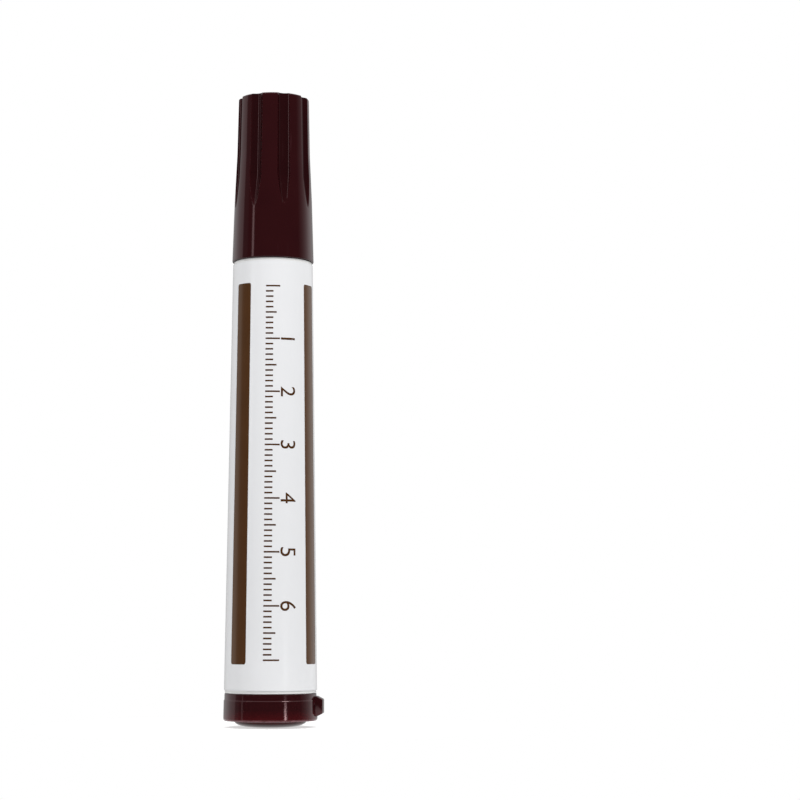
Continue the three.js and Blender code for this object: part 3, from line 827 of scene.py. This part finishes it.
def inked(mesh):
    """Gives flat marks the thickness of their ink, towards the pen's axis."""
    ink = bmesh.new()
    ink.from_mesh(mesh)
    under = bmesh.ops.extrude_face_region(ink, geom=ink.faces[:], use_keep_orig=True)["geom"]
    for vertex in under:
        if isinstance(vertex, bmesh.types.BMVert):
            away = Vector((vertex.co.x, vertex.co.y, 0))
            vertex.co -= away.normalized() * INK_THICK * MM
    bmesh.ops.recalc_face_normals(ink, faces=ink.faces)
    ink.to_mesh(mesh)
    ink.free()
    return mesh


marks = run_tree(print_tree, numbers, {
    "Bar Width": (BAR_TO - BAR_FROM) * SHEET_RADIUS * MM, "Bar Length": BAR_LENGTH * MM,
    "Bar Aside": (BAR_FROM + BAR_TO) / 2 * SHEET_RADIUS * MM, "Bar Middle": BAR_MIDDLE * MM,
    "Bar Corner": BAR_CORNER * MM, "Ticks": TICKS, "Tick Pitch": TICK_PITCH * MM,
    "Tick Width": TICK_WIDTH * MM, "Tick Length": TICK_LENGTH * MM,
    "Scale Left": SCALE_LEFT * MM, "Scale Top": SCALE_TOP * MM, "Sheet Radius": SHEET_RADIUS * MM,
    "Foot Radius": (film_radius(FILM_FOOT) + INK_OUT) * MM, "Foot": FILM_FOOT * MM,
    "Top Radius": (film_radius(FILM_TOP) + INK_OUT) * MM, "Top": FILM_TOP * MM,
    "Material": film_ink})
finish_piece("film_print", inked(marks), None, "barrel_body")

# %% [markdown]
# ## The cap
# The cap is the pen's main form: a plain skirt, a slope, and a grip with eight flutes that run out in
# rounded feet. Its shape follows a rule, so the lathe's flute inputs do the work. The outer wall gets
# many rows, because the flutes fade in along it. Inside are the snap groove and the pocket that holds
# the liner, and a small moulding mark is left in the middle of the top.

# %% Cap
CAP_MOUTH, CAP_TOP = 88.15, 120.0
CAP_LENGTH = CAP_TOP - CAP_MOUTH
SKIRT_TOP, SLOPE_FOOT, GRIP_FOOT, GRIP_TOP = (7.49, 9.3), (7.41, 11.85), (6.98, 20.85), (6.757, 31.45)
CAP_BORE, CAP_GROOVE, CAP_POCKET, CAP_CEILING = 6.5, 6.7, 5.2, 30.35
TOP_EDGE, TOP_MARK = 0.35, 0.13


def cap_outline():
    """The cap's outline, heights counted from its mouth until the last line."""
    inside = [(0, CAP_CEILING), (CAP_POCKET, CAP_CEILING, 0.5), (CAP_POCKET, 10.75, 0.3),
              (CAP_BORE, 9.75, 0.4), (CAP_BORE, 5.25), (CAP_GROOVE, 4.55, 0.3), (CAP_BORE, 3.85),
              (CAP_BORE, 0.35, 0.2), (6.85, 0.0, 0.15)]
    wall = [(7.78, 0.0, 0.2), *climb((7.765, 0.5), SKIRT_TOP, 12), *climb(SKIRT_TOP, SLOPE_FOOT, 14),
            *climb(SLOPE_FOOT, GRIP_FOOT, 24), *climb(GRIP_FOOT, GRIP_TOP, 10)]
    top = [*arc(6.4, CAP_LENGTH - TOP_EDGE, TOP_EDGE, TOP_EDGE, 0, 90, 6), (5.8, CAP_LENGTH),
           (5.6, CAP_LENGTH), (1.0, CAP_LENGTH, 0.1), (0.8, CAP_LENGTH - TOP_MARK, 0.1),
           (0, CAP_LENGTH - TOP_MARK)]
    return [(p[0], p[1] + CAP_MOUTH) for p in soften(inside + wall + top)]


def on_outer_wall(radius, height):
    """The skirt is wider than all that is inside; above it, the outer wall is wider than the pocket."""
    return radius > 7 or height > CAP_MOUTH + SLOPE_FOOT[1] and radius > 6.2


FLUTES, FLUTE_TURN, FLUTE_FOOT, FLUTE_NOSE = 8, 7.5, CAP_MOUTH + 9.15, 6.8
FLUTE_CUTTER, FLUTE_DEPTH, FLUTE_LIFT, FLUTE_EDGE = 1.42, 0.8, 0.2, 0.05
FLUTE_AXIS = 6.75 - FLUTE_DEPTH + FLUTE_CUTTER
flute_sizes = {
    "Flutes": FLUTES, "Flute Turn": math.radians(FLUTE_TURN - 90), "Flute Slope": 0.23 / 11,
    "Flute Axis": FLUTE_AXIS * MM, "Flute Top": CAP_TOP * MM, "Flute Foot": FLUTE_FOOT * MM,
    "Flute Nose": FLUTE_NOSE * MM, "Flute Lift": FLUTE_LIFT * MM, "Flute Cutter": FLUTE_CUTTER * MM,
    "Flute Edge": FLUTE_EDGE * MM, "Gather From": CAP_MOUTH * MM}
cap_mesh = turn(cap_outline(), mahogany, facets=512, fluted=on_outer_wall, sizes=flute_sizes)
finish_piece("fluted_cap", cap_mesh, "cap_shell", "cap_body", sharp=60)

# %% [markdown]
# ## Inside the cap: the liner
# A milky cup sits in the cap's pocket and slides over the nose with a small lip, so that the nib stays
# wet. It is seen from below when the cap is off.

# %% Cap liner
LINER_MOUTH, LINER_CEILING, LINER_TOP = 97.95, 117.55, 118.45
LINER_BORE, LINER_RADIUS, LINER_LIP = 4.4, 5.15, 4.26
liner_outline = soften([
    (0, LINER_CEILING), (LINER_BORE, LINER_CEILING, 0.6), (LINER_BORE, 99.35), (LINER_LIP, 98.65, 0.35),
    (LINER_BORE, LINER_MOUTH, 0.12), (LINER_RADIUS, LINER_MOUTH, 0.25), (LINER_RADIUS, LINER_TOP, 0.4),
    (0, LINER_TOP)])
finish_piece("cap_cup", turn(liner_outline, natural), "cap_liner", "cap_body")

# %% [markdown]
# ## The nose and the nib
# The nose piece is pressed into the neck and holds the nib. Four grooves along its bore feed stain past
# the nib, so they are cut from the turned blank as four bars. The nib is a fibre rod with a rounded
# point.

# %% Nose and nib
def box_at(size, centre, turn_by):
    """A closed box, in millimetres, turned about the pen's axis."""
    shape = bmesh.new()
    bmesh.ops.create_cube(shape, size=MM)
    bmesh.ops.scale(shape, vec=size, verts=shape.verts)
    bmesh.ops.translate(shape, vec=Vector(centre) * MM, verts=shape.verts)
    spin = Matrix.Rotation(turn_by, 3, "Z")
    bmesh.ops.rotate(shape, cent=(0, 0, 0), matrix=spin, verts=shape.verts)
    return mesh_of(shape, "bar")


def bars_round(count, size, centre, material, offset=0.0):
    """Copies of one box spaced round the axis, as one mesh to cut with."""
    together = bmesh.new()
    for i in range(count):
        together.from_mesh(box_at(size, centre, (i + offset) * 2 * math.pi / count))
    return mesh_of(together, "bars", material)


SPIGOT_FOOT, SOCKET_TOP, SOCKET_RADIUS = 86.15, 90.45, 3.95
FLANGE_FOOT, FLANGE_TOP, FLANGE_RADIUS = 96.15, 97.55, 5.95
LAND_RADIUS, LAND_TOP, NOSE_TIP, NIB_BORE = 4.2, 101.55, 106.55, 2.15
GROOVES, GROOVE_SIZE, GROOVE_MIDDLE = 4, (1.0, 0.7, 32.2), (2.0, 0, NOSE_TIP)
NOSE_SPIGOT = NECK_BORE - PRESS_GAP
nose_outline = soften([
    (SOCKET_RADIUS, SPIGOT_FOOT, 0.1), (NOSE_SPIGOT, SPIGOT_FOOT, 0.2), (NOSE_SPIGOT, FLANGE_FOOT, 0.1),
    (FLANGE_RADIUS, FLANGE_FOOT, 0.2), (FLANGE_RADIUS, FLANGE_TOP, 0.3), (LAND_RADIUS, FLANGE_TOP, 0.3),
    (LAND_RADIUS, LAND_TOP, 0.4), (3.0, NOSE_TIP, 0.35), (NIB_BORE, NOSE_TIP, 0.15),
    (NIB_BORE, SOCKET_TOP), (SOCKET_RADIUS, SOCKET_TOP, 0.2)])
grooves = bars_round(GROOVES, GROOVE_SIZE, GROOVE_MIDDLE, nose_white)
nose_mesh = combine(turn(nose_outline, nose_white), grooves, "DIFFERENCE")
finish_piece("nose_moulding", nose_mesh, "nose_piece", "barrel_body")

NIB_RADIUS, NIB_FOOT, NIB_POINT, NIB_TIP = 2.0, 92.75, 108.35, 111.55
nib_outline = [
    (0, NIB_FOOT), (NIB_RADIUS - 0.4, NIB_FOOT), (NIB_RADIUS, NIB_FOOT + 0.4),
    *climb((NIB_RADIUS, 93.6), (NIB_RADIUS, 108.0), 10),
    *arc(0, NIB_POINT, NIB_RADIUS, NIB_TIP - NIB_POINT, 0, 90, 24)[:-1], (0, NIB_TIP)]
finish_piece("fibre_nib", turn(nib_outline, fibre, facets=72), "nib", "nib_body")

# %% [markdown]
# ## The valve
# Pressing the nib pushes a pin back and opens a gap beside a rubber washer, so that stain runs to the
# nib. The pin slides in a cage with four windows, and a coil spring closes it again. All of it is
# sealed in the pen, yet each piece is made whole, because someone may take the model apart.

# %% Washer, cage and pin
SEATED_RADIUS = SOCKET_RADIUS - PRESS_GAP
WASHER_BORE, WASHER_FOOT, WASHER_TOP = 1.35, 89.2, 90.4
washer_outline = soften([
    (WASHER_BORE, WASHER_FOOT, 0.15), (SEATED_RADIUS, WASHER_FOOT, 0.15),
    (SEATED_RADIUS, WASHER_TOP, 0.15), (WASHER_BORE, WASHER_TOP, 0.15)])
washer_mesh = turn(washer_outline, rubber, 96)
finish_piece("valve_washer", washer_mesh, "valve_gasket", "barrel_body")

CAGE_REAR, CAGE_FLOOR, CAGE_TOP = 78.15, 79.35, 89.15
CAGE_RADIUS, CAGE_BORE, GUIDE_BORE = 3.5, 2.7, 1.05
WINDOWS, WINDOW_SIZE, WINDOW_MIDDLE = 4, (7.0, 2.0, 4.8), (3.5, 0, 82.75)
cage_outline = soften([
    (GUIDE_BORE, CAGE_REAR, 0.15), (CAGE_RADIUS, CAGE_REAR, 0.3), (CAGE_RADIUS, SPIGOT_FOOT),
    (SEATED_RADIUS, SPIGOT_FOOT, 0.1), (SEATED_RADIUS, CAGE_TOP, 0.15), (CAGE_BORE, CAGE_TOP, 0.15),
    (CAGE_BORE, CAGE_FLOOR, 0.2), (GUIDE_BORE, CAGE_FLOOR, 0.15)])
windows = bars_round(WINDOWS, WINDOW_SIZE, WINDOW_MIDDLE, natural, offset=0.5)
cage_mesh = combine(turn(cage_outline, natural, 96), windows, "DIFFERENCE")
finish_piece("slotted_cage", cage_mesh, "valve_cage", "barrel_body")

PIN_REAR, PIN_FLANGE_FOOT, PIN_FLANGE_TOP, PIN_TOP = 78.45, 87.95, 89.15, 92.7
PIN_GUIDE, PIN_FLANGE, PIN_HEAD = 0.9, 2.2, 1.0
pin_outline = soften([
    (0, PIN_REAR), (PIN_GUIDE, PIN_REAR, 0.25), (PIN_GUIDE, PIN_FLANGE_FOOT, 0.08),
    (PIN_FLANGE, PIN_FLANGE_FOOT, 0.12), (PIN_FLANGE, PIN_FLANGE_TOP, 0.12),
    (PIN_HEAD, PIN_FLANGE_TOP, 0.1), (PIN_HEAD, PIN_TOP, 0.15), (0, PIN_TOP)])
finish_piece("valve_pin", turn(pin_outline, natural, 64), "valve_stem", "nib_body")

# %% [markdown]
# ## The spring
# A spring is a round wire that follows a helix, which is just what Curve to Mesh does with a Spiral.
# When the nib is pressed, the real coil closes up; here the spring is wound at rest and gets a mesh of
# its own.

# %% Spring tree
COIL_STEPS, WIRE_SIDES = 40, 14
FINE_WELD = 1e-7


def build_spring():
    inputs = [("Geometry", "Geometry"), ("Turns", "Float"), ("Coil Radius", "Float"),
              ("Wire Radius", "Float"), ("Foot", "Float"), ("Rise", "Float"), ("Material", "Material")]
    tree, given, result = new_tree("wound_spring", "GeometryNodeTree", inputs, [("Geometry", "Geometry")])
    helix = {"Resolution": COIL_STEPS, "Rotations": given["Turns"], "Height": given["Rise"],
             "Start Radius": given["Coil Radius"], "End Radius": given["Coil Radius"]}
    line = put(tree, "GeometryNodeCurveSpiral", helix).outputs[0]
    section = {"Resolution": WIRE_SIDES, "Radius": given["Wire Radius"]}
    wire = put(tree, "GeometryNodeCurvePrimitiveCircle", section).outputs[0]
    sweep = {"Curve": line, "Profile Curve": wire, "Fill Caps": True}
    wound = put(tree, "GeometryNodeCurveToMesh", sweep).outputs[0]
    lift = {"Geometry": wound, "Translation": point(tree, z=given["Foot"])}
    moved = put(tree, "GeometryNodeTransform", lift).outputs[0]
    weld = {"Geometry": moved, "Distance": FINE_WELD}
    closed = put(tree, "GeometryNodeMergeByDistance", weld).outputs[0]
    finish_tree(tree, closed, given, result)
    return tree


# %% Spring and ball
SPRING_FOOT, SPRING_TOP, PRESS = 79.4, 87.9, 1.8
COILS, COIL_RADIUS, WIRE_RADIUS = 6.0, 1.7, 0.25
spring_mesh = run_tree(build_spring(), bpy.data.meshes.new("empty"), {
    "Turns": COILS, "Coil Radius": COIL_RADIUS * MM, "Wire Radius": WIRE_RADIUS * MM,
    "Foot": (SPRING_FOOT + WIRE_RADIUS) * MM,
    "Rise": (SPRING_TOP - SPRING_FOOT - 2 * WIRE_RADIUS) * MM, "Material": wire_steel})
spring = finish_piece("wound_spring", spring_mesh, "valve_spring", "barrel_body", sharp=60)
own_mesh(spring)
BALL_RADIUS, BALL_MIDDLE = 3.0, 5.45
ball_outline = [(0, BALL_MIDDLE - BALL_RADIUS), *arc(0, BALL_MIDDLE, BALL_RADIUS, BALL_RADIUS, -86, 86, 43),
                (0, BALL_MIDDLE + BALL_RADIUS)]
ball_mesh = turn(ball_outline, ball_steel, 96)
finish_piece("stirring_ball", ball_mesh, "mixing_ball", "ball_body")

# %% [markdown]
# ## The camera
# The photographer set a long lens well below the pen's middle, looked slightly up, and left room on the
# right. From here on, lengths are metres, and angles are counted round the pen from the camera,
# positive towards the right of the picture.

# %% Camera
CAMERA_TURN = math.radians(-98.5)
CAMERA_AWAY, CAMERA_HEIGHT = 0.4181, 0.020
CAMERA_TILT, CAMERA_PAN = 95.71, 3.34
camera_data = bpy.data.cameras.new("photo_camera")
camera_data.lens = 99.0
camera_data.sensor_width = 36.0
camera = bpy.data.objects.new("photo_camera", camera_data)
bpy.context.scene.collection.objects.link(camera)
camera.location = directions(CAMERA_TURN)[0] * CAMERA_AWAY + Vector((0, 0, CAMERA_HEIGHT))
camera.rotation_euler = (math.radians(CAMERA_TILT), 0, CAMERA_TURN + math.radians(90 - CAMERA_PAN))
bpy.context.scene.camera = camera
print("camera stands at", [round(v, 4) for v in camera.location])

# %% [markdown]
# ## Floor, backdrop and light
# The set is plain: a white floor that fades into a white room. Dark gloss is lit by what it mirrors, so
# a ring of grey cards, seen only in reflections, stands round the set: dark in front, pale at the sides
# and behind. Narrow cards in front of it make the single streaks on the gloss. Three soft lamps from
# above light the film and lay a soft shadow.

# %% Floor
FLOOR_RADIUS, FLOOR_LEVEL, FLOOR_SIDES = 0.05, -0.05 * MM, 96
FADE_FROM, FADE_TO = 0.02, 0.045
FLOOR_GLOW = 0.6


def card(name, corners, material):
    mesh = bpy.data.meshes.new(name)
    mesh.from_pydata(corners, [], [tuple(range(len(corners)))])
    mesh.materials.append(material)
    thing = bpy.data.objects.new(name, mesh)
    bpy.context.scene.collection.objects.link(thing)
    return thing


def seen_directly(tree):
    """1 where the camera, a mirror or a clear piece looks at a surface, 0 where it only lights."""
    seen = put(tree, "ShaderNodeLightPath").outputs
    mirrored = calc(tree, "MAXIMUM", seen["Is Glossy Ray"], seen["Is Transmission Ray"])
    return calc(tree, "MAXIMUM", seen["Is Camera Ray"], mirrored)


def floor_material():
    material, tree, shader = start_material("white_floor")
    place = own_place(tree)
    away = put(tree, "ShaderNodeVectorMath", {0: place}, operation="LENGTH").outputs["Value"]
    grain = noise(tree, place, 300.0, 4.0)
    tree.links.new(remap(tree, grain, 0.0, 1.0, 0.5, 0.54), shader["Base Color"])
    shader["Roughness"].default_value = 0.9
    shader["Specular IOR Level"].default_value = 0.0
    tree.links.new(remap(tree, away, FADE_FROM, FADE_TO, 1.0, 0.0), shader["Alpha"])
    shader["Emission Color"].default_value = (1, 1, 1, 1)
    glow = calc(tree, "MULTIPLY", seen_directly(tree), FLOOR_GLOW)
    tree.links.new(glow, shader["Emission Strength"])
    return material


rim = [directions(2 * math.pi * i / FLOOR_SIDES)[0] * FLOOR_RADIUS for i in range(FLOOR_SIDES)]
card("floor", [(spot.x, spot.y, FLOOR_LEVEL) for spot in rim], floor_material())

# %% White room
ROOM_LIGHT, ROOM_WHITE = 0.58, 1.0
world = bpy.data.worlds.new("white_room")
bpy.context.scene.world = world
world.use_nodes = True
room = world.node_tree
strength = remap(room, seen_directly(room), 0.0, 1.0, ROOM_LIGHT, ROOM_WHITE)
room.nodes["Background"].inputs["Color"].default_value = (1, 1, 1, 1)
room.links.new(strength, room.nodes["Background"].inputs["Strength"])

# %% Reflection cards
RING_RADIUS, RING_HEIGHT, RING_MIDDLE, RING_STRENGTH = 0.75, 1.2, 0.2, 2.0
RING_TONES = [
    (-179.9, 0.15), (-165, 0.2), (-150, 0.3), (-132, 0.42), (-105, 0.38), (-97.5, 0.36), (-95.5, 0.07),
    (-80, 0.065), (-75, 0.025), (78, 0.025), (93, 0.16), (122, 0.48), (136, 0.45), (155, 0.28),
    (179.9, 0.15)]
# Each narrow card: angle, width, lower and upper level, strength, distance from the pen.
NARROW_CARDS = [
    (-60, 0.0785, 0.08, 1.0, 2.0, 0.74),
    (36.5, 0.045, -0.014, -0.003, 24.0, 0.5),
    (36.5, 0.05, -0.003, 0.005, 1.0, 0.5),
    (67, 0.28, 0.85, 1.25, 10.0, 0.5),
    (-90, 0.09, -0.06, 0.006, 0.25, 0.5),
    (-73.5, 0.022, -0.06, 0.01, 1.2, 0.5)]


def only_mirrored(thing):
    """Lets a card show in reflections alone."""
    for ray in ("visible_camera", "visible_diffuse", "visible_shadow", "visible_transmission"):
        setattr(thing, ray, False)


def start_glow(name, strength):
    """A material that only glows, its tree and the glow's inputs."""
    material = bpy.data.materials.new(name)
    material.use_nodes = True
    tree = material.node_tree
    tree.nodes.clear()
    glow = put(tree, "ShaderNodeEmission", {"Strength": strength})
    tree.links.new(glow.outputs[0], put(tree, "ShaderNodeOutputMaterial").inputs[0])
    return material, tree, glow.inputs


def round_the_pen(degrees):
    """Where an angle counted from the camera lies on a radial gradient, from 0 to 1."""
    return ((math.degrees(CAMERA_TURN) + degrees) / 360 + 0.5) % 1


def ring_material():
    """Grey tones round the pen, blended from one angle to the next."""
    material, tree, glow = start_glow("grey_cards", RING_STRENGTH)
    swept = put(tree, "ShaderNodeTexGradient", {"Vector": own_place(tree)}, gradient_type="RADIAL")
    ramp = put(tree, "ShaderNodeValToRGB", {0: swept.outputs[1]})
    tones = sorted((round_the_pen(degrees), level) for degrees, level in RING_TONES)
    while len(ramp.color_ramp.elements) < len(tones):
        ramp.color_ramp.elements.new(0.5)
    for element, (spot, level) in zip(ramp.color_ramp.elements, tones):
        element.position = spot
        element.color = (level, level, level, 1)
    tree.links.new(ramp.outputs[0], glow["Color"])
    return material


def ring_of_cards():
    wall = bmesh.new()
    bmesh.ops.create_cone(wall, segments=96, radius1=RING_RADIUS, radius2=RING_RADIUS, depth=RING_HEIGHT)
    bmesh.ops.translate(wall, vec=(0, 0, RING_MIDDLE), verts=wall.verts)
    surround = bpy.data.objects.new("grey_cards", mesh_of(wall, "grey_cards", ring_material()))
    bpy.context.scene.collection.objects.link(surround)
    return surround


def narrow_card(degrees, width, low, high, strength, distance):
    """A narrow bright card between two levels, for one streak on the gloss."""
    out, along = directions(CAMERA_TURN + math.radians(degrees))
    middle, half = out * distance, along * width / 2
    foot, top = Vector((0, 0, low)), Vector((0, 0, high))
    corners = [middle - half + foot, middle + half + foot, middle + half + top, middle - half + top]
    return card("narrow_card", corners, start_glow("narrow_card", strength)[0])


only_mirrored(ring_of_cards())
for streak in NARROW_CARDS:
    only_mirrored(narrow_card(*streak))

# %% Lamps
AIM_HEIGHT = 0.06
# Each lamp: name, angle, elevation, distance, width, watts.
LAMPS = [
    ("key", 38, 55, 0.9, 0.5, 5.7),
    ("fill", -42, 60, 0.45, 0.3, 0.9),
    ("back", 180, 60, 0.9, 0.5, 2.0)]


def soft_lamp(name, degrees, elevation, distance, width, watts):
    """A square soft lamp aimed at the pen's middle, seen by neither the camera nor the gloss."""
    data = bpy.data.lights.new(name, "AREA")
    data.shape = "SQUARE"
    data.size = width
    data.energy = watts
    lamp = bpy.data.objects.new(name, data)
    bpy.context.scene.collection.objects.link(lamp)
    lift = math.radians(elevation)
    out = directions(CAMERA_TURN + math.radians(degrees))[0]
    back = out * math.cos(lift) + Vector((0, 0, math.sin(lift)))
    lamp.location = Vector((0, 0, AIM_HEIGHT)) + back * distance
    lamp.rotation_euler = back.to_track_quat("Z", "Y").to_euler()
    lamp.visible_glossy = False
    lamp.visible_camera = False
    return lamp


lamps = [soft_lamp(*values) for values in LAMPS]
print("lamps:", [lamp.name for lamp in lamps])

# %% [markdown]
# ## Finish
# The view transform is set to Standard.

# %% Finish
bpy.context.scene.view_settings.view_transform = "Standard"
